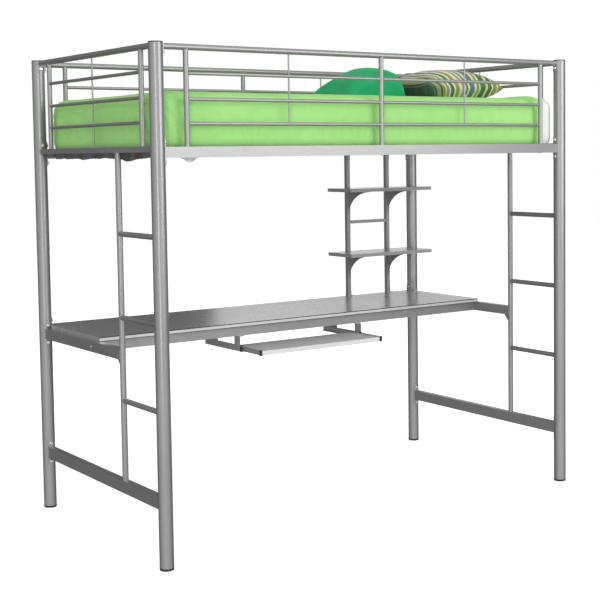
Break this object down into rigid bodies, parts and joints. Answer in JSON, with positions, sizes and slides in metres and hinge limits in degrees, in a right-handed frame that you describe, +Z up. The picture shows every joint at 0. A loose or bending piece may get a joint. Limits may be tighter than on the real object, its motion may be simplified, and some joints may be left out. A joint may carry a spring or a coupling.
{
  "type": "loft bed with desk",
  "caption": "Twin loft bed of silver steel tube with end ladders, a full-width desk beneath, a shelf tower and a pull-out keyboard tray, dressed with a mattress, cover and throw pillows.",
  "frame": {"origin": "on the floor, under the middle of the footprint of the four posts", "axes": "+X along the length of the bed towards the end with the shelf tower, +Y across the bed from the open front towards the wall side, +Z up"},
  "size_m": [1.9808, 1.0666, 1.829],
  "materials": {
    "silver_steel": "satin silver-grey powder coat",
    "desk_laminate": "semi-gloss grey laminate on board",
    "tray_laminate": "semi-gloss grey laminate on board",
    "bright_edge": "bright satin edge band",
    "slide_steel": "satin silver-grey enamel",
    "bolt_zinc": "bright zinc plate",
    "black_plastic": "moulded matt black",
    "mattress_ticking": "white knitted ticking",
    "green_cotton": "plain-weave fresh green cotton",
    "emerald_cotton": "plain-weave emerald cotton with pin tucks",
    "striped_cotton": "woven stripes in greens, olive, cream, taupe and teal"
  },
  "bodies": {
    "bed_frame": {"bed_frame_bolts": "bolt_zinc", "bed_rail_saddles": "silver_steel", "bed_screws": "bolt_zinc", "bed_slats": "silver_steel", "channel_bumpers": "black_plastic", "desk_and_shelf_screws": "bolt_zinc", "desk_edge_trim": "bright_edge", "desk_rail_front": "silver_steel", "desk_rail_gussets": "silver_steel", "desk_rail_left": "silver_steel", "desk_rail_rear": "silver_steel", "desk_rail_right": "silver_steel", "desk_rail_saddles": "silver_steel", "desk_top": "desk_laminate", "end_guard_bars": "silver_steel", "end_guard_stiles": "silver_steel", "front_guard_top_rail": "silver_steel", "guard_rail_saddles": "silver_steel", "guard_thin_rods": "silver_steel", "left_end_bed_rail": "silver_steel", "left_guard_top_rail": "silver_steel", "left_ladder_rungs": "silver_steel", "left_ladder_stile": "silver_steel", "left_lower_rail": "silver_steel", "lower_frame_bolts": "bolt_zinc", "lower_rail_saddles": "silver_steel", "lower_shelf": "desk_laminate", "mattress": "mattress_ticking", "mattress_cover": "green_cotton", "pillow_green": "emerald_cotton", "pillow_striped": "striped_cotton", "post_foot_glides": "black_plastic", "post_front_left": "silver_steel", "post_front_right": "silver_steel", "post_rear_left": "silver_steel", "post_rear_right": "silver_steel", "post_top_caps": "black_plastic", "rear_guard_top_rail": "silver_steel", "right_end_bed_rail": "silver_steel", "right_guard_top_rail": "silver_steel", "right_ladder_rungs": "silver_steel", "right_ladder_stile": "silver_steel", "right_lower_rail": "silver_steel", "shelf_brackets": "silver_steel", "shelf_upright_tie": "silver_steel", "shelf_uprights": "silver_steel", "side_guard_bars": "silver_steel", "side_guard_stiles": "silver_steel", "side_rail_front": "silver_steel", "side_rail_rear": "silver_steel", "slat_ledges": "silver_steel", "tray_channel_left": "slide_steel", "tray_channel_right": "slide_steel", "upper_shelf": "desk_laminate", "upright_brackets": "silver_steel"},
    "tray": {"keyboard_tray": "tray_laminate", "tray_front_strip": "bright_edge", "tray_slide_left": "slide_steel", "tray_slide_right": "slide_steel", "slide_end_caps": "black_plastic"}
  },
  "joints": [
    {"name": "tray_slide", "type": "slide", "parent": "bed_frame", "child": "tray", "axis": [0, -1, 0], "range_m": [-0.139, 0.08]}
  ]
}
